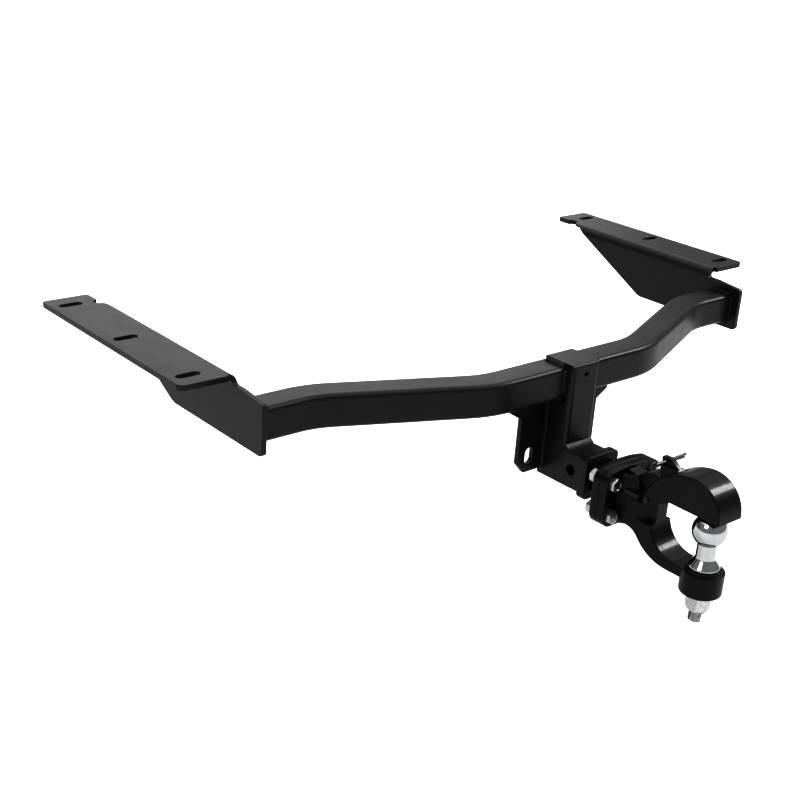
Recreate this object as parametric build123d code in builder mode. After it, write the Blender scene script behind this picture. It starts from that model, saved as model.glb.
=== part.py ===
from build123d import *
import os
from math import acos, atan2, cos, degrees, hypot, radians, sin

os.makedirs("parts", exist_ok=True)


# Sizes are in millimetres. The origin is the centre of the six chassis slots,
# on the top faces of the flanges. +X is the right side and +Y the front.

# Clearances
slide_gap = 0.3
running_gap = 0.05
swing_gap = 0.4
bolt_gap = 0.5

# Side brackets, folded from plate
plate = 8
web_x = 495
flange_edge_x = 585
bend_inside = 8
bend_outside = bend_inside + plate
flange_rear_y = -193
flange_front_y = 196
flange_corner = 6
flange_rear_corner = 11
slot_x = 555
slot_pitch = 163
slot_length = 36
slot_width = 13
web_rear_y = -259
web_bottom_z = -94
web_step_y = -207
web_step_drop = 5
web_heel_y = -39
web_toe = (130, -4)
fold_front_y = 148
fold_rear_y = -188
web_corner = 6
heel_corner = 30
relief_radius = 9
relief_y = 158

# Cross tube, bent from square tube
tube = 50
tube_wall = 4
tube_corner = 8
tube_z = -58
tube_end_y = -219
tube_middle_y = -319.5
tube_inner_knee_x = 161
tube_outer_knee_x = 398
tube_bend = 150

# Receiver and drop, welded from plate
receiver = 56
receiver_bore = 40.6
receiver_wall = (receiver - receiver_bore) / 2
receiver_z = -186
receiver_front_y = -308
drop_front_y = receiver_front_y - plate
drop_behind_tube = 14.5
drop_rear_y = tube_middle_y - tube / 2 - drop_behind_tube
receiver_reach = 51
receiver_mouth_y = drop_rear_y - receiver_reach
drop_corner = 7
drop_vent = 3.5
corner_relief = 4
cap = 6
cap_front_y = -301
cap_edge = 4
pin_radius = 8.25
pin_y = -374
collar = 68
collar_length = 15
collar_corner = 8
weld_leg = 8

# Chain plate
chain_head_x = 103
chain_head_z = -101
chain_side_x = 81
chain_neck_z = -114
chain_chamfer_x = 66
chain_chamfer_z = -187
chain_bottom_z = -204
chain_slot_x = 58
chain_slot_z = -178
chain_slot_length = 27
chain_slot_width = 16

# Shank and its bolted flanges
shank = 40
shank_front_y = -324
shank_edge = 2
flange_width = 114
flange_bottom_z = -234
flange_shoulder_z = -151
flange_crown_z = -143.5
flange_round = 18
flange_thickness = 13.5
shank_flange_y = -443
joint_y = shank_flange_y - flange_thickness
hook_flange_y = joint_y - flange_thickness
bolt_x = 42
bolt_pitch_z = 50
bolt_z = -191
bolt_radius = 6
bolt_flats = 19
bolt_head = 8
nut_height = 10
washer_radius = 12
washer_height = 2
bolt_tip = 4

# Tow ball
ball_y = -611.5
ball_z = -187.4
ball_radius = 25
neck_radius = 13.5
neck_bottom_z = -229
rim_radius = 22.5
rim_z = -241
rim_waist = 19
seat_z = -244
stud_radius = 11
stud_proud = 17.5
boss_radius = 30.5
boss_top_z = -249
boss_step_radius = 25
boss_bottom_z = -284
boss_edge = 4
ball_washer_radius = 20
ball_washer_height = 3.5
ball_nut_flats = 34
ball_nut_hex = 19
ball_nut_dome = 5
ball_nut_top_z = boss_bottom_z - ball_washer_height
ball_nut_bottom_z = ball_nut_top_z - ball_nut_hex - ball_nut_dome
stud_tip_z = ball_nut_bottom_z - stud_proud

# Hook body
arm_half = 23
arm_edge = 3
lug_half = 12
lug_radius = 36
lug_wall_y = -528.5
lug_dome_angle = 36
lug_root_z = -150
flare_half = 25
flare_tip_y = -490
flare_top_z = -155
shoulder_z = -212
throat_floor_y = -580
throat_middle = (-541.5, -236)
arm_heel = (-470, -229.5)
arm_turn = (-484, -229.5)
arm_knee = (-514, -247.5)
arm_belly = (-538.5, -261.5)
arm_end = (-590, -265.5)
neck_root_half = 30
neck_root_z = (-232, -172)
neck_tip_half = 23
neck_tip_z = (-226, -178)
neck_tip_y = -500
neck_round = 8
cheek_taper_y = -516

# Upper jaw
jaw_half = 26
jaw_nose_radius = 50
jaw_nose_y = -590.6
jaw_nose_z = -161.5
jaw_back_y = -596.3
jaw_back_z = -205.6
jaw_back_radius = jaw_nose_radius + hypot(jaw_back_y - jaw_nose_y, jaw_back_z - jaw_nose_z)
jaw_eye_radius = 8.5
jaw_eye_angle = 20.9
jaw_floor_z = -163.5
jaw_floor_y = -556
jaw_edge = 3
ball_pocket = 26.5
pivot_radius = 5
pivot_head_radius = 6.5
pivot_head = 3
pivot_tail = 2
jaw_slot_radius = lug_radius + 0.6

# Latch and its locking pin
latch_y = -551
latch_z = -130
latch_half = 7.5
latch_barrel = 7
latch_pin_radius = 2.5
latch_foot_radius = lug_radius + 1.4
latch_foot_angles = (98, 123)
latch_heel_y = -545
latch_front_y = -517
latch_top_z = -111
latch_apex = (-538, -114)
latch_ear_half = 3.5
latch_block_z = -122
lock_radius = 3
lock_y = -526
lock_z = -117
lock_near_x = -28
lock_far_x = 38
lock_split = 1.2
lock_split_x = 10
eye_radius = 4
eye_wire = 2


def save(builder, name):
    builder.part.label = name
    export_step(builder.part, f"parts/{name}.step")


def polar(centre, radius, angle):
    return centre[0] + radius * cos(radians(angle)), centre[1] + radius * sin(radians(angle))


def disc(plane, centre, radius):
    with BuildSketch(plane) as face:
        with Locations(centre):
            Circle(radius)
    return face.sketch


# Side brackets: a fold and a web in one section, trimmed to the side outline
with BuildPart() as right_side_bracket:
    bend_centre = (web_x + bend_outside, -bend_outside)
    with BuildSketch(Plane.XZ.offset(-fold_front_y)):
        with BuildLine():
            Polyline((web_x, -bend_outside), (web_x, web_bottom_z),
                     (web_x + plate, web_bottom_z), (web_x + plate, -bend_outside))
            CenterArc(bend_centre, bend_inside, 90, 90)
            Line((bend_centre[0], -plate), (bend_centre[0], 0))
            CenterArc(bend_centre, bend_outside, 90, 90)
        make_face()
    extrude(amount=fold_front_y - web_rear_y)
    with BuildSketch(Plane.YZ.offset(web_x)) as web_outline:
        with BuildLine():
            Polyline((web_rear_y, web_bottom_z), (web_heel_y, web_bottom_z), web_toe,
                     (fold_front_y, 0), (fold_rear_y, 0), (fold_rear_y, -bend_outside),
                     (web_step_y, -bend_outside),
                     (web_rear_y, -bend_outside - web_step_drop), close=True)
        make_face()
        fillet(web_outline.vertices().sort_by(Axis.X)[:2], web_corner)
        fillet(web_outline.vertices().sort_by_distance((web_heel_y, web_bottom_z))[0], heel_corner)
        fillet(web_outline.vertices().sort_by_distance((fold_rear_y, -bend_outside))[0], web_corner)
    extrude(amount=bend_outside, mode=Mode.INTERSECT)
    with BuildSketch(Plane.XY.offset(-plate)) as flange_outline:
        with Locations(((bend_centre[0] + flange_edge_x) / 2, (flange_rear_y + flange_front_y) / 2)):
            Rectangle(flange_edge_x - bend_centre[0], flange_front_y - flange_rear_y)
        rear_corner = flange_outline.vertices().sort_by_distance((flange_edge_x, flange_rear_y))[0]
        fillet(rear_corner, flange_rear_corner)
        fillet(flange_outline.vertices().group_by(Axis.Y)[-1], flange_corner)
        with Locations((bend_centre[0], relief_y)):
            Circle(relief_radius, mode=Mode.SUBTRACT)
        with Locations(*[(slot_x, row * slot_pitch) for row in (-1, 0, 1)]):
            SlotOverall(slot_length, slot_width, mode=Mode.SUBTRACT)
    extrude(amount=plate)
save(right_side_bracket, "right_side_bracket")

with BuildPart() as left_side_bracket:
    mirror(right_side_bracket.part, about=Plane.YZ)
save(left_side_bracket, "left_side_bracket")

# Cross tube: a rounded square section swept along four bends
with BuildPart() as cross_tube:
    with BuildLine(Plane.XY.offset(tube_z)) as tube_path:
        FilletPolyline((-web_x, tube_end_y), (-tube_outer_knee_x, tube_end_y),
                       (-tube_inner_knee_x, tube_middle_y), (tube_inner_knee_x, tube_middle_y),
                       (tube_outer_knee_x, tube_end_y), (web_x, tube_end_y), radius=tube_bend)
    with BuildSketch(Plane(origin=tube_path.line @ 0, x_dir=(0, 1, 0), z_dir=(1, 0, 0))):
        RectangleRounded(tube, tube, tube_corner)
        RectangleRounded(tube - 2 * tube_wall, tube - 2 * tube_wall, tube_corner - tube_wall,
                         mode=Mode.SUBTRACT)
    sweep()
save(cross_tube, "cross_tube")

# Drop and receiver: two side plates with a back, a roof and a floor between or behind them
tube_rear_y = tube_middle_y - tube / 2
tube_top_z = tube_z + tube / 2
tube_bottom_z = tube_z - tube / 2
receiver_top_z = receiver_z + receiver / 2
receiver_bottom_z = receiver_z - receiver / 2
back_front_y = drop_rear_y + plate

with BuildPart() as right_cheek:
    with BuildSketch(Plane.YZ.offset(receiver_bore / 2)):
        with BuildLine():
            Polyline((back_front_y, tube_top_z), (tube_rear_y, tube_top_z),
                     (tube_rear_y, tube_bottom_z), (drop_front_y, tube_bottom_z),
                     (drop_front_y, receiver_top_z), (receiver_front_y, receiver_top_z),
                     (receiver_front_y, receiver_bottom_z), (receiver_mouth_y, receiver_bottom_z),
                     (receiver_mouth_y, receiver_top_z), (back_front_y, receiver_top_z), close=True)
        make_face()
        with Locations((tube_rear_y, tube_bottom_z)):
            Circle(corner_relief, mode=Mode.SUBTRACT)
        with Locations((pin_y, receiver_z)):
            Circle(pin_radius, mode=Mode.SUBTRACT)
    extrude(amount=receiver_wall)
save(right_cheek, "right_cheek")

with BuildPart() as left_cheek:
    mirror(right_cheek.part, about=Plane.YZ)
save(left_cheek, "left_cheek")

with BuildPart() as drop_back_plate:
    with BuildSketch(Plane.XY.offset(receiver_top_z)) as back_section:
        with Locations((0, drop_rear_y + plate / 2)):
            Rectangle(receiver, plate)
        fillet(back_section.vertices().group_by(Axis.Y)[0], drop_corner)
    extrude(amount=tube_top_z - receiver_top_z)
    with Locations(Plane.XZ.offset(-drop_rear_y)):
        with Locations((0, tube_top_z - drop_corner - drop_vent)):
            Hole(drop_vent, depth=2 * plate)
save(drop_back_plate, "drop_back_plate")

with BuildPart() as saddle_cap:
    with BuildSketch(Plane.XY.offset(tube_top_z)):
        with Locations((0, (cap_front_y + drop_rear_y) / 2)):
            Rectangle(receiver, cap_front_y - drop_rear_y)
    extrude(amount=cap)
    cap_top = saddle_cap.faces().sort_by(Axis.Z)[-1]
    fillet(cap_top.edges().filter_by(Axis.X).sort_by(Axis.Y)[0], cap_edge)
    fillet(saddle_cap.faces().sort_by(Axis.Z)[-1].edges().filter_by(Axis.Y), 1)
save(saddle_cap, "saddle_cap")


def receiver_plate(name, low_z):
    with BuildPart() as panel:
        with BuildSketch(Plane.XY.offset(low_z)):
            with Locations((0, (receiver_front_y + receiver_mouth_y) / 2)):
                Rectangle(receiver_bore, receiver_front_y - receiver_mouth_y)
        extrude(amount=receiver_wall)
    save(panel, name)


receiver_plate("receiver_roof", receiver_top_z - receiver_wall)
receiver_plate("receiver_floor", receiver_bottom_z)

with BuildPart() as mouth_collar:
    with BuildSketch(Plane.XZ.offset(-receiver_mouth_y - collar_length)):
        with Locations((0, receiver_z)):
            RectangleRounded(collar, collar, collar_corner)
            Rectangle(receiver, receiver, mode=Mode.SUBTRACT)
    extrude(amount=collar_length)
save(mouth_collar, "mouth_collar")

with BuildPart() as drop_foot_weld:
    with BuildSketch(Plane.YZ.offset(-receiver / 2)):
        with BuildLine():
            Line((drop_rear_y, receiver_top_z), (drop_rear_y, receiver_top_z + weld_leg))
            CenterArc((drop_rear_y, receiver_top_z), weld_leg, 90, 90)
            Line((drop_rear_y - weld_leg, receiver_top_z), (drop_rear_y, receiver_top_z))
        make_face()
    extrude(amount=receiver)
save(drop_foot_weld, "drop_foot_weld")

with BuildPart() as chain_plate:
    with BuildSketch(Plane.XZ.offset(-receiver_front_y)) as chain_outline:
        with BuildLine():
            right_edge = [(chain_head_x, tube_bottom_z), (chain_head_x, chain_head_z),
                          (chain_side_x, chain_neck_z), (chain_side_x, chain_chamfer_z),
                          (chain_chamfer_x, chain_bottom_z), (receiver / 2, chain_bottom_z),
                          (receiver / 2, receiver_top_z)]
            left_edge = [(-x, z) for x, z in reversed(right_edge)]
            Polyline(*right_edge, *left_edge, close=True)
        make_face()
        for side in (-1, 1):
            for height in (chain_head_z, chain_chamfer_z):
                corner = (side * (chain_head_x if height == chain_head_z else chain_side_x), height)
                fillet(chain_outline.vertices().sort_by_distance(corner)[0], web_corner)
        with Locations((-chain_slot_x, chain_slot_z), (chain_slot_x, chain_slot_z)):
            SlotOverall(chain_slot_length, chain_slot_width, rotation=90, mode=Mode.SUBTRACT)
    extrude(amount=plate)
save(chain_plate, "chain_plate")

# Shank and flange joint
with BuildPart() as shank_bar:
    with BuildSketch(Plane.XZ.offset(-shank_front_y)):
        with Locations((0, receiver_z)):
            Rectangle(shank, shank)
    extrude(amount=shank_front_y - shank_flange_y)
    chamfer(shank_bar.faces().sort_by(Axis.Y)[-1].edges(), shank_edge)
    with BuildSketch(Plane.YZ.offset(-shank / 2)):
        with Locations((pin_y, receiver_z)):
            Circle(pin_radius)
    extrude(amount=shank, mode=Mode.SUBTRACT)
save(shank_bar, "shank_bar")

bolt_spots = [(x, bolt_z + z) for x in (-bolt_x, bolt_x) for z in (-bolt_pitch_z / 2, bolt_pitch_z / 2)]


def flange_sketch(front_y):
    with BuildSketch(Plane.XZ.offset(-front_y)) as outline:
        with BuildLine():
            low_left, low_right = (-flange_width / 2, flange_bottom_z), (flange_width / 2, flange_bottom_z)
            top_left, top_right = (-flange_width / 2, flange_shoulder_z), (flange_width / 2, flange_shoulder_z)
            Polyline(top_right, low_right, low_left, top_left)
            ThreePointArc(top_left, (0, flange_crown_z), top_right)
        make_face()
        fillet(outline.vertices(), flange_round)
        with Locations(*bolt_spots):
            Circle(bolt_radius + bolt_gap, mode=Mode.SUBTRACT)
    return outline.sketch


with BuildPart() as shank_flange:
    extrude(flange_sketch(shank_flange_y), amount=flange_thickness)
save(shank_flange, "shank_flange")

with BuildPart() as flange_bolts:
    with BuildSketch(Plane.XZ.offset(-hook_flange_y)):
        with Locations(*bolt_spots):
            RegularPolygon(bolt_flats / 2, 6, major_radius=False)
    extrude(amount=bolt_head)
    nut_front_y = shank_flange_y + washer_height + nut_height
    with BuildSketch(Plane.XZ.offset(-nut_front_y - bolt_tip)):
        with Locations(*bolt_spots):
            Circle(bolt_radius)
    extrude(amount=nut_front_y + bolt_tip - hook_flange_y)
save(flange_bolts, "flange_bolts")

with BuildPart() as flange_washers:
    with BuildSketch(Plane.XZ.offset(-shank_flange_y - washer_height)):
        with Locations(*bolt_spots):
            Circle(washer_radius)
            Circle(bolt_radius, mode=Mode.SUBTRACT)
    extrude(amount=washer_height)
save(flange_washers, "flange_washers")

with BuildPart() as flange_nuts:
    with BuildSketch(Plane.XZ.offset(-nut_front_y)):
        with Locations(*bolt_spots):
            RegularPolygon(bolt_flats / 2, 6, major_radius=False)
            Circle(bolt_radius, mode=Mode.SUBTRACT)
    extrude(amount=nut_height)
save(flange_nuts, "flange_nuts")

# Hook body: flange, lofted neck, curved arm, hinge lug and ball boss
pivot = polar((jaw_back_y, jaw_back_z), jaw_back_radius - jaw_eye_radius, jaw_eye_angle)
boss_foot = Plane.XY.offset(boss_bottom_z)

with BuildPart() as hook_body:
    # Arm, with its long edges rounded before anything joins it
    with BuildSketch(Plane.YZ.offset(-arm_half)):
        with BuildLine():
            Line(arm_heel, arm_turn)
            Spline(arm_turn, arm_knee, arm_belly, arm_end, tangents=[(-1, 0), (-1, 0)])
            Polyline(arm_end, (ball_y, arm_end[1]), (ball_y, boss_top_z), (throat_floor_y, boss_top_z))
            ThreePointArc((throat_floor_y, boss_top_z), throat_middle, (lug_wall_y, shoulder_z))
            Polyline((lug_wall_y, shoulder_z), (arm_heel[0], shoulder_z), arm_heel)
        make_face()
    extrude(amount=2 * arm_half)
    for spot in (arm_knee, throat_middle):
        side_edges = hook_body.edges().filter_by(lambda e: abs(abs(e.center().X) - arm_half) < 0.01)
        fillet(side_edges.sort_by_distance((0, *spot))[:2], arm_edge)
    # Neck, and the taper from it down to the lug's width
    for half, heights, y in ((neck_root_half, neck_root_z, hook_flange_y),
                             (neck_tip_half, neck_tip_z, neck_tip_y)):
        with BuildSketch(Plane.XZ.offset(-y)):
            with Locations((0, sum(heights) / 2)):
                RectangleRounded(2 * half, heights[1] - heights[0], neck_round)
    loft()
    for half, y in ((neck_tip_half, neck_tip_y), (lug_half, cheek_taper_y)):
        with BuildSketch(Plane.XZ.offset(-y)):
            with Locations((0, (neck_tip_z[0] + neck_tip_z[1] - neck_round) / 2)):
                Rectangle(2 * half, neck_tip_z[1] - neck_tip_z[0] - neck_round)
    loft()
    # Flare that carries the lug into the flange
    with BuildSketch(Plane.XY.offset(neck_root_z[0] + neck_round)):
        with BuildLine():
            Polyline((-flare_half, hook_flange_y), (-lug_half, flare_tip_y), (lug_half, flare_tip_y),
                     (flare_half, hook_flange_y), close=True)
        make_face()
    extrude(amount=flare_top_z - neck_root_z[0] - neck_round)
    # Lug, domed about the jaw's pivot
    with BuildSketch(Plane.YZ.offset(-lug_half)):
        with BuildLine():
            wall_angle = 180 - degrees(acos((pivot[0] - lug_wall_y) / lug_radius))
            dome_end = polar(pivot, lug_radius, lug_dome_angle)
            dome_start = polar(pivot, lug_radius, wall_angle)
            Polyline(dome_end, (hook_flange_y, lug_root_z), (hook_flange_y, shoulder_z),
                     (lug_wall_y, shoulder_z), dome_start)
            ThreePointArc(dome_start, polar(pivot, lug_radius, (wall_angle + lug_dome_angle) / 2),
                          dome_end)
        make_face()
    extrude(amount=2 * lug_half)
    # Boss, with a raised ring under the ball's rim
    extrude(disc(boss_foot, (0, ball_y), boss_radius), amount=boss_top_z - boss_bottom_z)
    fillet(hook_body.faces().sort_by(Axis.Z)[0].edges(), boss_edge)
    extrude(disc(boss_foot, (0, ball_y), boss_step_radius), amount=seat_z - boss_bottom_z)
    extrude(flange_sketch(joint_y), amount=flange_thickness)
    extrude(disc(Plane.YZ, pivot, pivot_radius), amount=lug_half, both=True, mode=Mode.SUBTRACT)
    extrude(disc(boss_foot, (0, ball_y), stud_radius), amount=seat_z - boss_bottom_z,
            mode=Mode.SUBTRACT)
save(hook_body, "hook_body")

with BuildPart() as jaw_pivot_pin:
    head_seat = Plane.YZ.offset(-jaw_half - swing_gap)
    extrude(disc(head_seat, pivot, pivot_head_radius), amount=-pivot_head)
    extrude(disc(head_seat, pivot, pivot_radius), amount=2 * (jaw_half + swing_gap + pivot_tail))
save(jaw_pivot_pin, "jaw_pivot_pin")

with BuildPart() as jaw_pin_clip:
    with BuildSketch(Plane.YZ.offset(jaw_half + swing_gap)):
        with Locations(pivot):
            Circle(pivot_head_radius)
            Circle(pivot_radius, mode=Mode.SUBTRACT)
    extrude(amount=pivot_tail)
save(jaw_pin_clip, "jaw_pin_clip")

# Tow ball, turned in one piece with its stud
with BuildPart() as tow_ball:
    with BuildSketch(Plane.YZ):
        with BuildLine():
            neck_angle = -degrees(atan2((ball_radius**2 - neck_radius**2) ** 0.5, neck_radius))
            neck_start = polar((ball_y, ball_z), ball_radius, neck_angle)
            Line((ball_y, stud_tip_z), (ball_y, ball_z + ball_radius))
            ThreePointArc((ball_y, ball_z + ball_radius), (ball_y + ball_radius, ball_z), neck_start)
            Polyline(neck_start, (ball_y + neck_radius, neck_bottom_z),
                     (ball_y + rim_waist, rim_z + 3), (ball_y + rim_radius, rim_z),
                     (ball_y + rim_radius, seat_z), (ball_y + stud_radius, seat_z),
                     (ball_y + stud_radius, stud_tip_z + 2), (ball_y + stud_radius - 2, stud_tip_z),
                     (ball_y, stud_tip_z))
        make_face()
    revolve(axis=Axis((0, ball_y, 0), (0, 0, 1)))
save(tow_ball, "tow_ball")

with BuildPart() as ball_washer:
    with BuildSketch(Plane.XY.offset(boss_bottom_z - ball_washer_height)):
        with Locations((0, ball_y)):
            Circle(ball_washer_radius)
            Circle(stud_radius, mode=Mode.SUBTRACT)
    extrude(amount=ball_washer_height)
save(ball_washer, "ball_washer")

with BuildPart() as ball_nut:
    with BuildSketch(Plane.XY.offset(ball_nut_top_z - ball_nut_hex)):
        with Locations((0, ball_y)):
            RegularPolygon(ball_nut_flats / 2, 6, major_radius=False)
    extrude(amount=ball_nut_hex)
    with BuildSketch(Plane.XY.offset(ball_nut_bottom_z)):
        with Locations((0, ball_y)):
            Circle(ball_nut_flats / 2 - 1)
    extrude(amount=ball_nut_dome)
    fillet(ball_nut.faces().sort_by(Axis.Z)[0].edges(), 2)
    extrude(disc(Plane.XY.offset(ball_nut_bottom_z), (0, ball_y), stud_radius),
            amount=ball_nut_top_z - ball_nut_bottom_z, mode=Mode.SUBTRACT)
save(ball_nut, "ball_nut")

# Upper jaw: a forked claw that straddles the hinge lug
back_centre = (jaw_back_y, jaw_back_z)
nose_centre = (jaw_nose_y, jaw_nose_z)
crown_angle = degrees(atan2(jaw_nose_z - jaw_back_z, jaw_nose_y - jaw_back_y))
floor_start = (jaw_floor_y, jaw_floor_z)
eye_reach = hypot(jaw_floor_y - pivot[0], jaw_floor_z - pivot[1])
to_eye = degrees(atan2(pivot[1] - jaw_floor_z, pivot[0] - jaw_floor_y))
dip = degrees(atan2(jaw_eye_radius, (eye_reach**2 - jaw_eye_radius**2) ** 0.5))
eye_end_angle = to_eye - dip - 90
latch_hinge = (latch_y, latch_z)

with BuildPart() as upper_jaw:
    with BuildSketch(Plane.YZ.offset(-jaw_half)):
        with BuildLine():
            nose = polar(nose_centre, jaw_nose_radius, 180)
            crown = polar(nose_centre, jaw_nose_radius, crown_angle)
            brow = polar(back_centre, jaw_back_radius, jaw_eye_angle)
            eye_end = polar(pivot, jaw_eye_radius, eye_end_angle)
            ThreePointArc(nose, polar(nose_centre, jaw_nose_radius, (180 + crown_angle) / 2), crown)
            ThreePointArc(crown, polar(back_centre, jaw_back_radius,
                                       (crown_angle + jaw_eye_angle) / 2), brow)
            ThreePointArc(brow, polar(pivot, jaw_eye_radius,
                                      (jaw_eye_angle + eye_end_angle) / 2), eye_end)
            Polyline(eye_end, floor_start, (nose[0], jaw_floor_z), nose)
        make_face()
    extrude(amount=2 * jaw_half)
    fillet(upper_jaw.faces().filter_by(Axis.X).edges(), jaw_edge)
    # Room for the lug, then the narrower slot for the latch above it
    extrude(disc(Plane.YZ, pivot, jaw_slot_radius), amount=lug_half + swing_gap, both=True,
            mode=Mode.SUBTRACT)
    barrel_room = latch_barrel + swing_gap
    extrude(disc(Plane.YZ, latch_hinge, barrel_room), amount=latch_half + swing_gap, both=True,
            mode=Mode.SUBTRACT)
    with BuildSketch(Plane.YZ):
        with BuildLine():
            Polyline((latch_y - barrel_room, latch_z), (latch_y - barrel_room, latch_top_z),
                     (pivot[0], latch_top_z), (pivot[0], pivot[1]),
                     (latch_heel_y - 2 * swing_gap, pivot[1] + lug_radius / 2),
                     (latch_heel_y - 2 * swing_gap, latch_z - barrel_room),
                     (latch_y, latch_z - barrel_room), (latch_y, latch_z), close=True)
        make_face()
    extrude(amount=latch_half + swing_gap, both=True, mode=Mode.SUBTRACT)
    for centre, radius in ((pivot, pivot_radius + running_gap), (latch_hinge, latch_pin_radius)):
        extrude(disc(Plane.YZ, centre, radius), amount=jaw_half, both=True, mode=Mode.SUBTRACT)
    with Locations((0, ball_y, ball_z)):
        Sphere(ball_pocket, mode=Mode.SUBTRACT)
save(upper_jaw, "upper_jaw")

with BuildPart() as latch_pivot_pin:
    extrude(disc(Plane.YZ, latch_hinge, latch_pin_radius), amount=jaw_half, both=True)
save(latch_pivot_pin, "latch_pivot_pin")

with BuildPart() as latch:
    with BuildSketch(Plane.YZ.offset(-latch_half)):
        with BuildLine():
            foot_front, foot_middle, foot_rear = [
                polar(pivot, latch_foot_radius, angle)
                for angle in (latch_foot_angles[0], sum(latch_foot_angles) / 2, latch_foot_angles[1])]
            ThreePointArc(foot_front, foot_middle, foot_rear)
            Polyline(foot_rear, (latch_heel_y, latch_z - latch_barrel), (latch_y, latch_z - latch_barrel))
            ThreePointArc((latch_y, latch_z - latch_barrel), (latch_y - latch_barrel, latch_z),
                          (latch_y, latch_z + latch_barrel))
            Polyline((latch_y, latch_z + latch_barrel), latch_apex,
                     (latch_apex[0] + latch_barrel, latch_top_z), (latch_front_y - 2, latch_top_z),
                     (latch_front_y, latch_top_z - 2), foot_front)
        make_face()
        with Locations(latch_hinge):
            Circle(latch_pin_radius + running_gap, mode=Mode.SUBTRACT)
        with Locations((lock_y, lock_z)):
            Circle(lock_radius + running_gap, mode=Mode.SUBTRACT)
    extrude(amount=2 * latch_half)
    # Above the block only a thin ear is left for the locking pin
    cut_half = (latch_half - latch_ear_half) / 2
    for side in (-1, 1):
        with Locations((side * (latch_ear_half + cut_half), latch_apex[0], latch_top_z)):
            Box(2 * cut_half, 2 * (latch_front_y - latch_apex[0]), 2 * (latch_top_z - latch_block_z),
                mode=Mode.SUBTRACT)
save(latch, "latch")

with BuildPart() as lock_pin:
    extrude(disc(Plane.YZ.offset(lock_near_x), (lock_y, lock_z), lock_radius),
            amount=lock_far_x - lock_near_x)
    with Locations(((lock_split_x + lock_far_x) / 2, lock_y, lock_z)):
        Box(lock_far_x - lock_split_x, 3 * lock_radius, lock_split, mode=Mode.SUBTRACT)
    with Locations(Plane(origin=(lock_near_x - eye_radius, lock_y, lock_z), z_dir=(0, 1, 0))):
        Torus(eye_radius, eye_wire)
save(lock_pin, "lock_pin")
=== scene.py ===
# %% [markdown]
# # A vehicle tow bar with a pintle hook and tow ball
# The real bar is a square steel tube bent to clear the back of a vehicle, welded
# between two folded brackets that bolt up under the chassis. A drop and a receiver
# hang from its middle, and a cast hook with a chrome ball is bolted to a shank that
# slides into the receiver. The CAD frame already has every part at its true size, so
# this lesson gives the parts their worked edges, welds, threads and finishes.

import math

import bpy
from mathutils import Euler, Matrix, Vector


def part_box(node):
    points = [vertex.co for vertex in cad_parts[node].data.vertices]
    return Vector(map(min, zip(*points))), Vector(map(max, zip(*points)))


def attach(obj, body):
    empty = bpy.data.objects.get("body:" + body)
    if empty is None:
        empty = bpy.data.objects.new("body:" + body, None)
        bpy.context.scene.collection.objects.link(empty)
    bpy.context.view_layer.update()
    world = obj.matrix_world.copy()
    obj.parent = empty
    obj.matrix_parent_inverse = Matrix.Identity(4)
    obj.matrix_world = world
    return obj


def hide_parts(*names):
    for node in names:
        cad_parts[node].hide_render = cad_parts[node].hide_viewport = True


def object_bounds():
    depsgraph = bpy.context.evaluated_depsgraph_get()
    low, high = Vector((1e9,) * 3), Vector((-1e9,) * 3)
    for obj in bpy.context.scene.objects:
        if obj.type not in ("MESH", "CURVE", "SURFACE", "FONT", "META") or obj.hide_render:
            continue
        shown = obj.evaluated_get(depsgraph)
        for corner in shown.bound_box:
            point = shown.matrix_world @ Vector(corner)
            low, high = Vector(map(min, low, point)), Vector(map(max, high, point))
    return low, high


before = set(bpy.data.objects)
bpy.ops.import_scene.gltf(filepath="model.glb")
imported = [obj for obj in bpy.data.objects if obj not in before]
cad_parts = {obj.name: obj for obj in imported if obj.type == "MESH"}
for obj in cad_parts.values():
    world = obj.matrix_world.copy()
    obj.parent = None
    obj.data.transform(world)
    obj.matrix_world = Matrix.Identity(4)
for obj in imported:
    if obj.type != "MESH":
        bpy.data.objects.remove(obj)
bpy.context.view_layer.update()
MM = 0.001
print("nodes:", len(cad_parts))

# %% [markdown]
# ## Working edges
# Laser cut plate is never razor sharp: it is tumbled, and a coat of powder rounds it
# further, so each edge catches a thin line of light. A CAD node could be shaded as it
# is, but then that line is missing. So a copy of the node is merged into one skin, its
# flat triangles are dissolved into whole faces, and a narrow bevel rounds the corners.
# Weighted normals keep the large faces flat beside the bevel.

# %% Helpers that add, apply and finish
SMOOTH = math.radians(38)
SHARP = math.radians(32)
FLAT = math.radians(0.4)
SAME_POINT = 0.002 * MM
SAME_STATION = 0.005 * MM


def only(piece):
    if bpy.context.mode != "OBJECT":
        bpy.ops.object.mode_set(mode="OBJECT")
    bpy.ops.object.select_all(action="DESELECT")
    piece.select_set(True)
    bpy.context.view_layer.objects.active = piece


def fresh(name, add_primitive, **sizes):
    bpy.ops.object.select_all(action="DESELECT")
    add_primitive(**sizes)
    piece = bpy.context.active_object
    piece.name = name
    return piece


def apply_modifier(piece, kind, **settings):
    only(piece)
    modifier = piece.modifiers.new(kind.lower(), kind)
    for name, value in settings.items():
        setattr(modifier, name, value)
    bpy.ops.object.modifier_apply(modifier=modifier.name)


def boolean(piece, tool, operation):
    apply_modifier(piece, "BOOLEAN", operation=operation, object=tool, solver="EXACT")
    bpy.data.objects.remove(tool)


def settle(piece):
    only(piece)
    bpy.ops.object.transform_apply(location=True, rotation=True, scale=True)


def close_skin(piece):
    only(piece)
    bpy.ops.object.mode_set(mode="EDIT")
    bpy.ops.mesh.select_all(action="SELECT")
    bpy.ops.mesh.remove_doubles(threshold=SAME_STATION)
    bpy.ops.mesh.normals_make_consistent(inside=False)
    bpy.ops.object.mode_set(mode="OBJECT")


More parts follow.
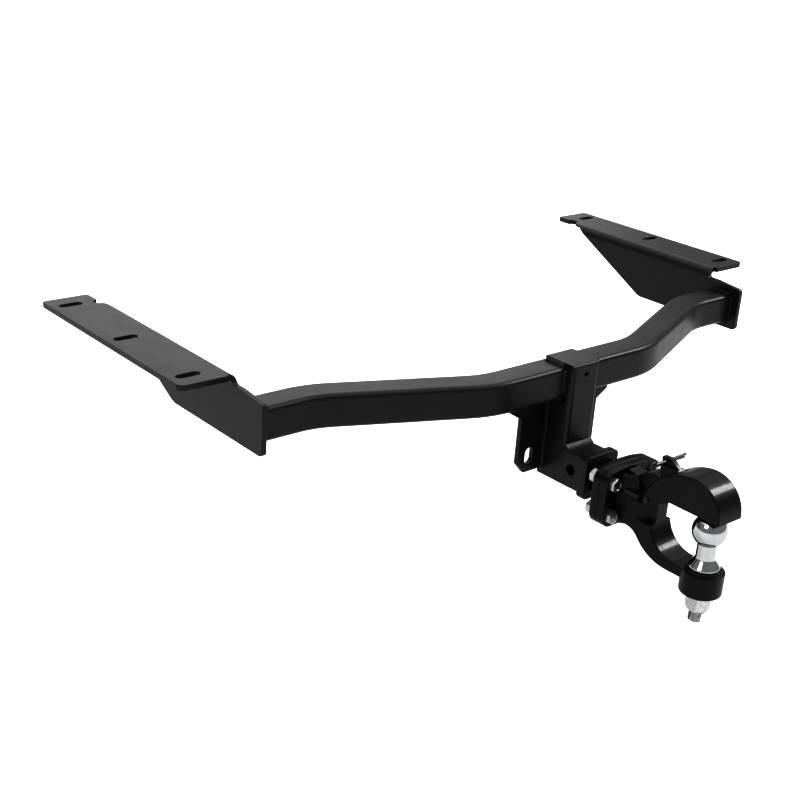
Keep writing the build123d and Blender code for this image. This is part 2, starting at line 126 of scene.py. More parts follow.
def soften(piece, width, clamp=True):
    apply_modifier(piece, "BEVEL", width=width, segments=2, limit_method="ANGLE",
                   angle_limit=SHARP, use_clamp_overlap=clamp, miter_outer="MITER_ARC")


def shade(piece):
    only(piece)
    bpy.ops.object.shade_smooth_by_angle(angle=SMOOTH)
    apply_modifier(piece, "WEIGHTED_NORMAL", weight=100, keep_sharp=True)


def worked_copy(node, name, width, clamp=True):
    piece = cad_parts[node].copy()
    piece.data = piece.data.copy()
    piece.name = name
    bpy.context.scene.collection.objects.link(piece)
    only(piece)
    bpy.ops.object.mode_set(mode="EDIT")
    bpy.ops.mesh.select_all(action="SELECT")
    bpy.ops.mesh.remove_doubles(threshold=SAME_POINT)
    bpy.ops.mesh.dissolve_limited(angle_limit=FLAT)
    bpy.ops.object.mode_set(mode="OBJECT")
    soften(piece, width, clamp)
    shade(piece)
    return piece


print("helpers ready; edges above", round(math.degrees(SHARP)), "degrees get a bevel")

# %% [markdown]
# ## Shader maths as plain Python
# A finish varies over a surface by sums and products of a few patterns. Linking Math
# nodes by hand hides that, so one small class wraps a socket and lets Python's own
# signs add the nodes. All patterns read Object coordinates, which stay put when a
# joint moves.

# %% The Wire class and the Finish builder
class Wire:
    def __init__(self, finish, socket):
        self.finish = finish
        self.socket = socket

    def math(self, operation, other, swap=False):
        first, second = (other, self) if swap else (self, other)
        return self.finish.add("ShaderNodeMath", {"operation": operation}, {0: first, 1: second})

    def __add__(self, other):
        return self.math("ADD", other)

    def __sub__(self, other):
        return self.math("SUBTRACT", other)

    def __mul__(self, other):
        return self.math("MULTIPLY", other)

    def __rsub__(self, other):
        return self.math("SUBTRACT", other, swap=True)

    __radd__ = __add__
    __rmul__ = __mul__


class Finish:
    def __init__(self, name, **constants):
        self.material = bpy.data.materials.new(name)
        self.material.use_nodes = True
        self.tree = self.material.node_tree
        self.surface = self.tree.nodes["Principled BSDF"]
        for socket, value in constants.items():
            self.surface.inputs[socket.replace("_", " ")].default_value = value
        self.place = self.add("ShaderNodeTexCoord", {}, {}, "Object")

    def add(self, kind, settings, sockets, output=0):
        node = self.tree.nodes.new(kind)
        for name, value in settings.items():
            setattr(node, name, value)
        for name, value in sockets.items():
            if isinstance(value, Wire):
                self.tree.links.new(value.socket, node.inputs[name])
            else:
                node.inputs[name].default_value = value
        return Wire(self, node.outputs[output])

    def noise(self, scale, detail=3.0):
        return self.add("ShaderNodeTexNoise", {}, {"Vector": self.place, "Scale": scale,
                                                   "Detail": detail, "Roughness": 0.5})

    def fade(self, value, low, high):
        return self.add("ShaderNodeMapRange", {"interpolation_type": "SMOOTHSTEP"},
                        {"Value": value, "From Min": low, "From Max": high})

    def blend(self, mask, dark, light):
        return self.add("ShaderNodeMix", {"data_type": "RGBA"},
                        {"Factor": mask, 6: (*dark, 1.0), 7: (*light, 1.0)}, 2)

    def facing_up(self):
        normal = self.add("ShaderNodeNewGeometry", {}, {}, "Normal")
        return self.add("ShaderNodeSeparateXYZ", {}, {"Vector": normal}, "Z")

    def relief(self, height, distance, strength):
        return self.add("ShaderNodeBump", {}, {"Height": height, "Distance": distance,
                                               "Strength": strength})

    def feed(self, **sockets):
        for name, wire in sockets.items():
            self.tree.links.new(wire.socket, self.surface.inputs[name.replace("_", " ")])


print("socket sums add their own nodes")

# %% [markdown]
# ## Powder coat
# The bar is charcoal black powder coat, baked on as a dry dust. It is satin, with a
# fine orange peel and a slightly uneven gloss. What faces up is painted a little lighter,
# partly as a trace of settled dust and partly as painted light on the tops. A plain black
# with low roughness would look wet, so two noises shape the relief and one more moves
# the roughness by a few hundredths.

# %% Powder coat
powder = Finish("powder_coat", Specular_IOR_Level=0.4)
# Painted light: upward faces get a lighter base colour, partly settled dust and partly painted
# light on the tops.
dust_and_top_light = powder.fade(powder.facing_up(), 0.5, 1.0) * powder.fade(powder.noise(9.0), 0.3, 0.75)
orange_peel = powder.noise(900.0) + powder.noise(260.0) * 0.7
powder.feed(Base_Color=powder.blend(dust_and_top_light * 0.6, (0.014, 0.0142, 0.0148), (0.03, 0.03, 0.03)),
            Roughness=powder.noise(35.0) * 0.12 + 0.3,
            Normal=powder.relief(orange_peel, 0.09 * MM, 0.55))
print("powder coat:", len(powder.tree.nodes), "nodes")

# %% [markdown]
# ## Gloss black paint on a casting
# The hook, jaw, latch and shank are cast or forged and sprayed gloss black. The skin of
# the casting shows as a soft uneven relief under the paint, so highlights break up at
# their rims. A thin clear coat carries the sharp part of the reflection.

# %% Gloss black
gloss = Finish("gloss_black", Specular_IOR_Level=0.25, Coat_Roughness=0.1)
cast_skin = gloss.noise(75.0, 4.0) + gloss.noise(420.0) * 0.25
gloss.feed(Base_Color=gloss.blend(gloss.noise(30.0), (0.003, 0.003, 0.0033),
                                  (0.006, 0.006, 0.0065)),
           Roughness=gloss.noise(60.0) * 0.2 + 0.27,
           Coat_Weight=gloss.noise(18.0) * 0.15 + 0.1,
           Normal=gloss.relief(cast_skin, 0.6 * MM, 0.5))
print("gloss black:", len(gloss.tree.nodes), "nodes")

# %% [markdown]
# ## Bare and plated metals
# The ball is chrome plated and wiped with greasy hands, so its roughness has smudges.
# Bolts and nuts are bright zinc with a slight drawn grain. The locking pin has the same
# plating grown dull, and the pins and clip are blackened steel, so one function makes
# all three from their own tones. The ball's nut is hot dip galvanised, which freezes in
# patches that a cell pattern gives well.

# %% Chrome, zinc, blackened and galvanised steel
chrome = Finish("chrome", Metallic=1.0)
smudge = chrome.fade(chrome.noise(55.0, 5.0), 0.52, 0.72)
chrome.feed(Base_Color=chrome.blend(smudge, (0.43, 0.435, 0.44), (0.37, 0.37, 0.37)),
            Roughness=smudge * 0.12 + 0.05,
            Normal=chrome.relief(chrome.noise(700.0), 0.02 * MM, 0.3))


def drawn_metal(name, dull, bright, roughness, metallic=1.0, scales=(160.0, 420.0, 1300.0)):
    metal = Finish(name, Metallic=metallic)
    tone, wear, grain = scales
    metal.feed(Base_Color=metal.blend(metal.noise(tone), dull, bright),
               Roughness=metal.noise(wear) * 0.2 + roughness,
               Normal=metal.relief(metal.noise(grain), 0.06 * MM, 0.4))
    return metal


zinc = drawn_metal("zinc", (0.36, 0.37, 0.38), (0.52, 0.52, 0.52), 0.2)
pin_zinc = drawn_metal("pin_zinc", (0.07, 0.072, 0.075), (0.14, 0.14, 0.14), 0.24)
dark_steel = drawn_metal("dark_steel", (0.03, 0.03, 0.032), (0.07, 0.07, 0.07), 0.26,
                         metallic=0.85, scales=(220.0, 500.0, 1100.0))

galvanised = Finish("galvanised", Metallic=1.0)
spangle = galvanised.add("ShaderNodeTexVoronoi", {},
                         {"Vector": galvanised.place, "Scale": 600.0}, "Color")
patch = galvanised.add("ShaderNodeSeparateColor", {}, {"Color": spangle}, "Red")
galvanised.feed(Base_Color=galvanised.blend(patch, (0.38, 0.385, 0.39), (0.56, 0.56, 0.56)),
                Roughness=patch * 0.15 + 0.3,
                Normal=galvanised.relief(patch + galvanised.noise(900.0), 0.06 * MM, 0.25))

metals = (chrome, zinc, pin_zinc, dark_steel, galvanised)
print("metals:", ", ".join(metal.material.name for metal in metals))


# %% Give a piece its finish and body
def dress(piece, finish, slot, body, *nodes):
    piece.data.materials.clear()
    piece.data.materials.append(finish.material)
    if nodes:
        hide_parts(*nodes)
    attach(piece, body)
    print(f"{piece.name}: {len(piece.data.polygons)} faces on {body}")


def dress_copy(node, name, edge_mm, finish, slot, body, clamp=True):
    dress(worked_copy(node, name, edge_mm * MM, clamp), finish, slot, body, node)


# %% [markdown]
# ## Brackets, tube, drop and receiver
# These are all plate and tube, so each is the worked copy of its CAD node. The bevel
# follows the stock, from under half a millimetre on the receiver's walls to one and a
# half on the collar. Blender can clamp a bevel, but then it shrinks everywhere to the
# shortest side of a rounded corner, so here the clamp is off. The brackets' slots and
# corners have the shortest sides of all, and a bevel narrow enough to fit them.

# %% The welded bar
plate_edges = {"right_side_bracket": 0.45, "left_side_bracket": 0.45, "cross_tube": 0.5,
               "saddle_cap": 1.0, "drop_back_plate": 1.3, "left_cheek": 0.8, "right_cheek": 0.8,
               "receiver_roof": 0.4, "receiver_floor": 0.4, "mouth_collar": 1.5,
               "chain_plate": 1.0}
for node, edge_mm in plate_edges.items():
    dress_copy(node, f"{node}_coated", edge_mm, powder, "powder_coat", "tow_bar", clamp=False)

# %% [markdown]
# ## Weld beads
# A hand-laid weld is a row of overlapping ripples, like a pushed-over stack of coins.
# It could be a bump on a smooth fillet, but a bead is easy to see from the side, so it
# is real shape: one flattened ball is laid in the corner, and an Array modifier steps
# it along the seam by less than its own thickness, so each ripple lies on the last.

# %% A seam of ripples
LEG_AND_PITCH = {"tube": (3.6, 2.4), "rear": (6.5, 3.0), "cap": (8.0, 3.6),
                 "under": (3.0, 2.4), "chain": (6.0, 3.0), "collar": (2.6, 2.4),
                 "chain_top": (2.8, 2.4), "shank": (4.0, 2.4)}
LAP = 0.62
FULLNESS = 0.12


def step_along(piece, run, steps):
    apply_modifier(piece, "ARRAY", count=steps + 1, use_relative_offset=False,
                   use_constant_offset=True, constant_offset_displace=run / steps)


def seam(kind, start, end):
    leg, pitch = (size * MM for size in LEG_AND_PITCH[kind])
    start, end = Vector(start), Vector(end)
    run = end - start
    ripple = fresh(f"{kind}_run", bpy.ops.mesh.primitive_uv_sphere_add,
                   segments=12, ring_count=8, radius=leg)
    bpy.ops.object.mode_set(mode="EDIT")
    bpy.ops.mesh.select_all(action="SELECT")
    bpy.ops.transform.resize(value=(1.0, 1.0, LAP * pitch / leg + FULLNESS),
                             center_override=(0.0, 0.0, 0.0))
    bpy.ops.object.mode_set(mode="OBJECT")
    ripple.rotation_euler = run.to_track_quat("Z", "Y").to_euler()
    ripple.location = start
    settle(ripple)
    step_along(ripple, run, max(2, round(run.length / pitch)))
    only(ripple)
    bpy.ops.object.shade_smooth()
    return ripple


def joined(name, pieces):
    only(pieces[0])
    for piece in pieces[1:]:
        piece.select_set(True)
    bpy.ops.object.join()
    pieces[0].name = name
    return pieces[0]


print("weld legs and pitches in mm:", LEG_AND_PITCH)

# %% [markdown]
# The tube is welded all round to each bracket's web. The four sides of the square are
# four seams, set half into the corner so that only a rounded fillet shows.

# %% Tube to bracket welds
TUBE_END_Y = -219 * MM
WEB_BITE = 0.4 * MM
INSET = 6 * MM
tube_low, tube_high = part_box("cross_tube")
top, bottom = tube_high.z, tube_low.z
tube_half = (top - bottom) / 2
end_rear, end_front = TUBE_END_Y - tube_half, TUBE_END_Y + tube_half
for side, label in ((-1, "left"), (1, "right")):
    x = side * (tube_high.x - WEB_BITE)
    tube_runs = [seam("tube", (x, end_rear + INSET, top), (x, end_front - INSET, top)),
                 seam("tube", (x, end_rear + INSET, bottom), (x, end_front - INSET, bottom)),
                 seam("tube", (x, end_rear, bottom + INSET), (x, end_rear, top - INSET)),
                 seam("tube", (x, end_front, bottom + INSET), (x, end_front, top - INSET))]
    dress(joined(f"{label}_tube_weld", tube_runs), powder, "powder_coat", "tow_bar")

# %% [markdown]
# The drop is boxed up from plates around the tube, so there are seams where its cheeks
# and cap meet the tube, where the chain plate meets the cheeks, and round the collar.

# %% Drop, chain plate, cap and collar welds
REAR_SINK = 2 * MM
CAP_SINK = 2.6 * MM
CHAIN_START = 3 * MM
cheek_low, cheek_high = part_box("right_cheek")
chain_low, chain_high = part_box("chain_plate")
foot_low, foot_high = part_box("drop_foot_weld")
cap_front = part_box("saddle_cap")[1].y
collar_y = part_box("mouth_collar")[1].y
receiver_low, receiver_top = cheek_low.z, foot_low.z
cheek_x, chain_y = cheek_high.x, chain_low.y
rear_y, rear_start, cap_z = tube_low.y + REAR_SINK, tube_low.y + INSET, top - CAP_SINK
drop_runs = []
for side in (-1, 1):
    x = side * cheek_x
    drop_runs += [
        seam("rear", (x, rear_y, bottom + 2 * INSET), (x, rear_y, top - INSET)),
        seam("cap", (x, rear_start, cap_z), (x, cap_front - INSET, cap_z)),
        seam("under", (x, rear_start, bottom), (x, chain_y, bottom)),
        seam("chain", (x, chain_y, chain_low.z + CHAIN_START), (x, chain_y, bottom)),
        seam("collar", (x, collar_y, receiver_low + INSET), (x, collar_y, receiver_top - INSET))]
for z in (receiver_low, receiver_top):
    drop_runs.append(seam("collar", (-cheek_x + INSET, collar_y, z),
                          (cheek_x - INSET, collar_y, z)))
drop_runs += [
    seam("chain_top", (chain_low.x + INSET, chain_y, bottom), (-cheek_x, chain_y, bottom)),
    seam("chain_top", (cheek_x, chain_y, bottom), (chain_high.x - INSET, chain_y, bottom))]
dress(joined("drop_welds", drop_runs), powder, "powder_coat", "tow_bar")

# %% [markdown]
# The foot of the drop has the largest bead, and its CAD node is a plain fillet. Ripples
# as round as the others would look dark here, because each turns most of its skin away
# from the light. So this ripple is cut from a large ball set deep in the corner: what
# stands out of it is a nearly flat slice at forty-five degrees, and a row of slices
# catches the light as one band.

# %% The bead at the drop's foot
FOOT_PITCH = 4.6 * MM
FOOT_SINK = 14 * MM
FOOT_FLATTEN = 0.66
FOOT_SLACK = 0.4 * MM
FOOT_MARGIN = 0.8 * MM
CORNER_BITE = 0.5 * MM
SLICE_LAP = 0.1 * MM
foot_leg = foot_high.y - foot_low.y - FOOT_SLACK
foot_round = math.hypot(foot_leg + FOOT_SINK, FOOT_SINK)
foot_start = foot_low.x + FOOT_PITCH / 2 + FOOT_MARGIN
foot = fresh("drop_foot_bead", bpy.ops.mesh.primitive_uv_sphere_add,
             segments=32, ring_count=20, radius=foot_round)
foot.scale = (FOOT_FLATTEN, 1.0, 1.0)
foot.location = (foot_start, foot_high.y + FOOT_SINK, foot_low.z - FOOT_SINK)
settle(foot)
foot_slice = fresh("foot_slice", bpy.ops.mesh.primitive_cube_add, size=1.0,
                   location=(foot_start, foot_high.y + CORNER_BITE - foot_round,
                             foot_low.z - CORNER_BITE + foot_round))
foot_slice.scale = (FOOT_PITCH + SLICE_LAP, 2 * foot_round, 2 * foot_round)
settle(foot_slice)
boolean(foot, foot_slice, "INTERSECT")
foot_run = Vector((-2 * foot_start, 0.0, 0.0))
step_along(foot, foot_run, round(foot_run.x / FOOT_PITCH))
only(foot)
bpy.ops.object.shade_smooth_by_angle(angle=SMOOTH)
dress(foot, powder, "powder_coat", "tow_bar", "drop_foot_weld")

# %% [markdown]
# ## Shank and bolted flanges
# The shank is a solid square bar, welded all round to a thick flange. Its own weld
# closes the corner behind the flange, and the flanges keep their rounded corners.

# %% Shank, flange and their weld
dress_copy("shank_bar", "shank_bar_painted", 0.6, gloss, "gloss_black", "coupling")
dress_copy("shank_flange", "shank_flange_painted", 1.5, gloss, "gloss_black", "coupling",
           clamp=False)
shank_low, shank_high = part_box("shank_bar")
weld_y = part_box("shank_flange")[1].y
shank_runs = []
for x, z in ((-shank_high.x, shank_low.z), (shank_high.x, shank_high.z)):
    shank_runs += [seam("shank", (x, weld_y, shank_low.z), (x, weld_y, shank_high.z)),
                   seam("shank", (shank_low.x, weld_y, z), (shank_high.x, weld_y, z))]
dress(joined("shank_weld", shank_runs), gloss, "gloss_black", "coupling")

# %% [markdown]
# ## Turned and hexagonal fasteners
# A bolt's head is a hexagonal bar with its corners turned off at thirty degrees, and
# its thread is a run of V grooves. A disc is extruded and scaled station by station,
# as a lathe would leave it, and a Boolean with such a turned shape takes the corners
# off the hexagon. The helix of a small thread can't be told from rings at this size.

# %% Turn a profile, and cut a hexagon
CHAMFER = math.radians(30)
FACE_SHARE = 0.97
THREAD_DEPTH = 0.55
ROOT_CREST_CREST_ROOT = ((0.1, False), (0.5, True), (0.6, True), (1.0, False))


def in_mm(stations, base=0.0):
    return [(radius * MM, base + height * MM) for radius, height in stations]


def turned(name, profile, corners):
    radius, height = profile[0]
    piece = fresh(name, bpy.ops.mesh.primitive_circle_add, vertices=corners, radius=radius,
                  fill_type="NGON", location=(0.0, 0.0, height))
    settle(piece)
    bpy.ops.object.mode_set(mode="EDIT")
    bpy.ops.mesh.select_all(action="SELECT")
    for next_radius, next_height in profile[1:]:
        bpy.ops.mesh.extrude_region_move(
            TRANSFORM_OT_translate={"value": (0.0, 0.0, next_height - height)})
        scale = next_radius / radius
        bpy.ops.transform.resize(value=(scale, scale, 1.0),
                                 center_override=(0.0, 0.0, next_height))
        radius, height = next_radius, next_height
    bpy.ops.object.mode_set(mode="OBJECT")
    close_skin(piece)
    return piece


def hexagon(name, flats, low, high, both_ends=True):
    corner = flats / math.sqrt(3)
    piece = fresh(name, bpy.ops.mesh.primitive_cylinder_add, vertices=6, radius=corner,
                  depth=high - low, location=(0.0, 0.0, (low + high) / 2))
    settle(piece)
    face = flats / 2 * FACE_SHARE
    rise = (corner - face) * math.tan(CHAMFER)
    profile = [(face, low), (corner, low + rise)]
    profile += [(corner, high - rise), (face, high)] if both_ends else [(corner, high)]
    boolean(piece, turned("lathe_cut", profile, 72), "INTERSECT")
    return piece


def thread(radius, low, high, pitch):
    root = radius - THREAD_DEPTH * pitch
    return [(radius if crest else root, low + turn * pitch + share * pitch)
            for turn in range(int((high - low) / pitch))
            for share, crest in ROOT_CREST_CREST_ROOT]


print("lathe and hexagon ready")

# %% [markdown]
# The flange bolts go in from the hook's side, with washers and nuts behind the shank's
# flange. One of each is made standing on the origin and turned to lie along the bar,
# then copied to the four holes. Profiles are lists of radius and height in millimetres.

# %% Bolts, washers and nuts
FLATS = 19 * MM
HEAD = 8 * MM
BOLT_RADIUS = 6 * MM
BOLT_PITCH = 1.75 * MM
THREADED = 12 * MM
END = 1 * MM
TIP_RADIUS = 4.9 * MM
WASHER_RADIUS = 12 * MM
bolt_low, bolt_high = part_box("flange_bolts")
nut_low, nut_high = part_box("flange_nuts")
washer_low, washer_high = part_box("flange_washers")
centre_z = (bolt_low.z + bolt_high.z) / 2
spread_x = (washer_high.x - washer_low.x) / 2 - WASHER_RADIUS
spread_z = (washer_high.z - washer_low.z) / 2 - WASHER_RADIUS
reach = bolt_high.y - bolt_low.y
nut_depth = nut_high.y - nut_low.y


def at_four_holes(name, piece, y):
    piece.rotation_euler = (-math.pi / 2, 0.0, 0.0)
    settle(piece)
    copies = []
    for x in (-spread_x, spread_x):
        for z in (-spread_z, spread_z):
            copy = piece.copy()
            copy.data = piece.data.copy()
            bpy.context.scene.collection.objects.link(copy)
            copy.location = (x, y, centre_z + z)
            settle(copy)
            copies.append(copy)
    bpy.data.objects.remove(piece)
    return joined(name, copies)


bolt = hexagon("bolt_head", FLATS, 0.0, HEAD, both_ends=False)
soften(bolt, 0.25 * MM)
boolean(bolt, turned("head_dish", in_mm([(6.2, -0.2), (5.6, 0.5)]), 32), "DIFFERENCE")
shaft = turned("bolt_shaft", [(BOLT_RADIUS, HEAD - END), (BOLT_RADIUS, reach - THREADED)]
               + thread(BOLT_RADIUS, reach - THREADED, reach - END, BOLT_PITCH)
               + [(TIP_RADIUS, reach)], 32)
bolts = at_four_holes("flange_bolts_zinc", joined("bolt", [bolt, shaft]), bolt_low.y)
shade(bolts)
dress(bolts, zinc, "zinc", "coupling", "flange_bolts")

nut = hexagon("nut", FLATS, 0.0, nut_depth)
boolean(nut, turned("nut_bore", in_mm([(7.0, -0.1), (6.1, 1.0)])
                    + in_mm([(6.1, -1.0), (7.0, 0.1)], nut_depth), 32), "DIFFERENCE")
nuts = at_four_holes("flange_nuts_zinc", nut, nut_low.y)
soften(nuts, 0.2 * MM)
shade(nuts)
dress(nuts, zinc, "zinc", "coupling", "flange_nuts")
dress_copy("flange_washers", "flange_washers_zinc", 0.3, zinc, "zinc", "coupling")

# %% [markdown]
# ## The hook and its jaw
# The hook is one heavy casting. Its outside edges are already rounded in CAD, and what
# is left are machined edges at the lug, boss and flange, which get a small bevel. The
# jaw is a forked casting that swings on a pin, with a latch between its cheeks. Its
# point is too slender for a free bevel, so here the clamp is on for all but the hook.

# %% Hook, jaw and latch
dress_copy("hook_body", "hook_casting", 1.2, gloss, "gloss_black", "coupling", clamp=False)
dress_copy("upper_jaw", "jaw_casting", 0.9, gloss, "gloss_black", "jaw")
dress_copy("latch", "latch_block", 0.9, gloss, "gloss_black", "latch_arm")
dress_copy("jaw_pin_clip", "jaw_pin_clip_steel", 0.4, dark_steel, "dark_steel", "coupling")
dress_copy("latch_pivot_pin", "latch_pivot_pin_steel", 0.3, dark_steel, "dark_steel", "jaw")

# %% [markdown]
# ## Tow ball
# The ball is turned from one bar: ball, waisted neck, flared rim and threaded stud.
# Facets would show in its mirror finish, so it isn't the CAD mesh but a lathe profile
# of its own, with ninety-six corners and a station every three and a half degrees. The
# rim and neck are a list of stations above the seat where the rim stands on the boss.

# %% Turn the ball
BALL = 25 * MM
NECK = 14 * MM
STUD = 11 * MM
STUD_PITCH = 2 * MM
STUD_TIP_RADIUS = 9.6 * MM
STUD_TIP = 0.6 * MM
PLAIN_STUD = 34 * MM
SEAT = -244 * MM
STATIONS = 42
POLE_ANGLE = math.pi / 2 - 0.03
ball_low, ball_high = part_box("tow_ball")
ball_y = (ball_low.y + ball_high.y) / 2
ball_centre_z = ball_high.z - BALL
profile = [(STUD_TIP_RADIUS, ball_low.z)]
profile += thread(STUD, ball_low.z + STUD_TIP, SEAT - PLAIN_STUD, STUD_PITCH)
profile += in_mm([(11.0, -33.0), (11.0, 0.2), (22.0, 0.2), (22.5, 0.8), (22.5, 2.0),
                  (22.3, 2.8), (21.6, 3.8), (19.8, 6.4), (17.4, 9.5), (15.4, 12.2),
                  (14.5, 13.6), (14.1, 14.6), (14.0, 16.0)], SEAT)
neck_angle = -math.acos(NECK / BALL)
for i in range(STATIONS):
    angle = neck_angle + (POLE_ANGLE - neck_angle) * i / (STATIONS - 1)
    profile.append((BALL * math.cos(angle), ball_centre_z + BALL * math.sin(angle)))


def in_line_with_ball(piece):
    piece.location = (0.0, ball_y, 0.0)
    settle(piece)


ball = turned("tow_ball_chrome", profile, 96)
in_line_with_ball(ball)
only(ball)
bpy.ops.object.shade_smooth_by_angle(angle=math.radians(30))
dress(ball, chrome, "chrome", "coupling", "tow_ball")

# %% [markdown]
# Under the boss sit a thick washer and a locking nut, whose round collar holds a
# plastic ring. They are galvanised, so they are duller and lighter than the ball.

# %% Ball washer and lock nut
ring_low, ring_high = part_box("ball_washer")
ring = turned("ball_washer_ring", in_mm([(19.6, 0.0), (20.0, 0.5)], ring_low.z)
              + in_mm([(20.0, -0.5), (19.6, 0.0)], ring_high.z), 64)
in_line_with_ball(ring)
shade(ring)
dress(ring, galvanised, "zinc", "coupling", "ball_washer")

LOCK_FLATS = 34 * MM
COLLAR_HEIGHT = 5 * MM
lock_low, lock_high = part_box("ball_nut")
hex_low = lock_low.z + COLLAR_HEIGHT
lock_nut = hexagon("ball_nut_hexagon", LOCK_FLATS, hex_low, lock_high.z)
soften(lock_nut, 0.4 * MM)
collar = turned("ball_nut_collar",
                in_mm([(12.0, 0.0), (13.6, 0.0), (15.2, 0.8), (16.0, 2.4)], lock_low.z)
                + in_mm([(16.0, 0.5)], hex_low), 64)
lock_nut = joined("ball_nut_galvanised", [lock_nut, collar])
in_line_with_ball(lock_nut)
shade(lock_nut)
dress(lock_nut, galvanised, "zinc", "coupling", "ball_nut")

# %% [markdown]
# ## Jaw pivot pin
# The pin that the jaw swings on has a small domed head, peened at the factory. The CAD
# head is a plain disc, so the pin is turned afresh, a little smaller than that disc.

# %% Jaw pivot pin
pivot_low, pivot_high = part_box("jaw_pivot_pin")
pin_length = pivot_high.x - pivot_low.x
pivot_pin = turned("jaw_pivot_pin_steel",
                   in_mm([(1.5, 0.0), (3.4, 0.5), (4.8, 1.4), (5.5, 2.4), (5.5, 3.0),
                          (4.98, 3.0)])
                   + in_mm([(4.98, -0.8), (4.2, 0.0)], pin_length), 40)
pivot_pin.rotation_euler = (0.0, math.pi / 2, 0.0)
pivot_pin.location = (pivot_low.x, (pivot_low.y + pivot_high.y) / 2,
                      (pivot_low.z + pivot_high.z) / 2)
settle(pivot_pin)
shade(pivot_pin)
dress(pivot_pin, dark_steel, "dark_steel", "coupling", "jaw_pivot_pin")

# %% [markdown]
# ## Locking pin
# The pin through the latch is a thick split pin with a round eye to pull it by. Its
# two legs spring apart a little past the latch, and one is shorter than the other. The
# eye is a torus, and the shaft and legs are turned rods joined to it.

# %% Locking pin
EYE = 4 * MM
WIRE = 2 * MM
EYE_BITE = 3 * MM
PIN_RADIUS = 2.9 * MM
LEG_RADIUS = 1.9 * MM
LEG_ROOT, LEG_TIP = 1.3 * MM, 2.0 * MM
SHORTER = 3 * MM
SPLIT_X = 10 * MM
SPLIT_LAP = 2 * MM
TIP_SHARE = 0.4
pin_low, pin_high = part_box("lock_pin")
pin_y, pin_z = (pin_low.y + pin_high.y) / 2, (pin_low.z + pin_high.z) / 2
eye_x = pin_low.x + EYE + WIRE
eye = fresh("pin_eye", bpy.ops.mesh.primitive_torus_add, major_segments=48, minor_segments=16,
            major_radius=EYE, minor_radius=WIRE, location=(eye_x, pin_y, pin_z),
            rotation=(math.pi / 2, 0.0, 0.0))
settle(eye)


def rod(name, start, end, radius):
    start, end = Vector(start), Vector(end)
    run = end - start
    tip = min(radius * TIP_SHARE, run.length / 4)
    piece = turned(name, [(radius - tip, 0.0), (radius, tip), (radius, run.length - tip),
                          (radius - tip, run.length)], 24)
    piece.rotation_euler = run.to_track_quat("Z", "Y").to_euler()
    piece.location = start
    settle(piece)
    return piece


pin_rods = [rod("pin_shank", (eye_x + EYE_BITE, pin_y, pin_z),
                (SPLIT_X + SPLIT_LAP, pin_y, pin_z), PIN_RADIUS)]
for way, leg_end in ((-1, pin_high.x - SHORTER), (1, pin_high.x)):
    pin_rods.append(rod("pin_leg", (SPLIT_X, pin_y, pin_z + LEG_ROOT * way),
                        (leg_end, pin_y, pin_z + LEG_TIP * way), LEG_RADIUS))
locking_pin = joined("lock_pin_zinc", [eye] + pin_rods)
shade(locking_pin)
dress(locking_pin, pin_zinc, "zinc", "locking_pin", "lock_pin")

# %% [markdown]
# ## Studio
# The bar is shown over a white floor that reaches past the picture and lies a little
# below the ball's stud. A sun lamp with a very wide disc stands for the light tent:
# unlike a panel, it lights the far floor as brightly as the near one. The edge strip is
# a narrower sun. It comes from where the bright bands on the jaw's crown and in the
# hook's throat point to, and it also draws the line along the tube's corner. A far
# panel lightens what faces up, and a near lamp leaves the hot spot on the ball.

# %% Floor, world and lights
FLOOR_DROP = 30 * MM
WHITE = (1.0, 1.0, 1.0, 1.0)
MIDDLE = (0.0, 0.0, 0.0)
floor_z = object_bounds()[0].z - FLOOR_DROP
floor = fresh("studio_floor", bpy.ops.mesh.primitive_plane_add, size=120.0,
              location=(0.0, 0.0, floor_z))
paper = Finish("studio_paper", Roughness=0.8, Specular_IOR_Level=0.1)
paper.feed(Base_Color=paper.blend(paper.noise(0.8), (0.86, 0.86, 0.86), (0.88, 0.88, 0.88)))
floor.data.materials.append(paper.material)

world = bpy.data.worlds.new("studio_air")
bpy.context.scene.world = world
world.use_nodes = True
air = world.node_tree.nodes["Background"].inputs
air["Color"].default_value = WHITE
air["Strength"].default_value = 0.46


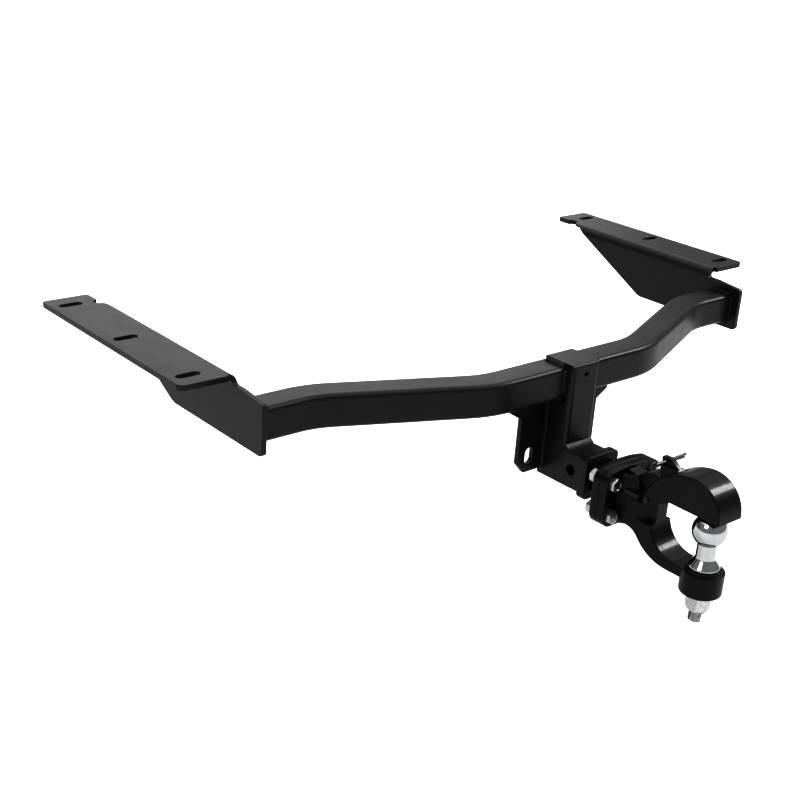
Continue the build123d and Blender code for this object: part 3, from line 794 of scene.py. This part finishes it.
def lamp(name, kind, place, aim, energy, **settings):
    data = bpy.data.lights.new(name, kind)
    data.energy = energy
    for key, value in settings.items():
        setattr(data, key, value)
    light = bpy.data.objects.new(name, data)
    bpy.context.scene.collection.objects.link(light)
    light.location = place
    light.rotation_euler = (Vector(aim) - Vector(place)).to_track_quat("-Z", "Y").to_euler()
    light.visible_camera = False
    return light


lamps = [
    lamp("tent_roof", "SUN", place=(0.4, 0.6, 4.0), aim=MIDDLE, energy=2.0,
         angle=math.radians(100)),
    lamp("edge_strip", "SUN", place=(0.75, -0.25, 0.61), aim=MIDDLE, energy=1.15,
         angle=math.radians(14)),
    lamp("far_panel", "AREA", place=(2.7, 4.3, 2.0), aim=(0.0, -0.2, 0.0), energy=32.0,
         shape="RECTANGLE", size=4.0, size_y=2.0),
    lamp("near_lamp", "AREA", place=(-2.8, -0.75, 1.95), aim=(0.0, -0.6, -0.2), energy=20.0,
         shape="DISK", size=1.5)]
print("floor at", round(floor_z / MM, 1), "mm")
print("lamps:", ", ".join(light.name for light in lamps))

# %% [markdown]
# ## Camera
# The photograph was solved from the bracket slots, the plate corners and the ball, so
# the camera stands at a measured place: behind and left of the bar, almost a metre
# above the hook, with a lens a little longer than normal and a slight roll. The
# exposure goes up and the gamma down, which keeps the floor white and gives the blacks
# the hard contrast of a catalogue print.

# %% Camera
TILT, TURN, ROLL = math.radians(67.75), math.radians(-41.25), math.radians(3.91)
camera_data = bpy.data.cameras.new("photo_view")
camera_data.sensor_width = 36.0
camera_data.lens = 59.913
camera_data.clip_end = 200.0
camera = bpy.data.objects.new("photo_view", camera_data)
bpy.context.scene.collection.objects.link(camera)
aim = Euler((TILT, 0.0, TURN)).to_matrix()
camera.rotation_euler = (aim @ Matrix.Rotation(ROLL, 3, "Z")).to_euler()
camera.location = (-1.4044, -1.5515, 0.6412)
bpy.context.scene.camera = camera
picture = bpy.context.scene.view_settings
picture.view_transform = "Standard"
picture.exposure = 0.58
picture.gamma = 0.55
print("camera at", [round(v, 3) for v in camera.location])
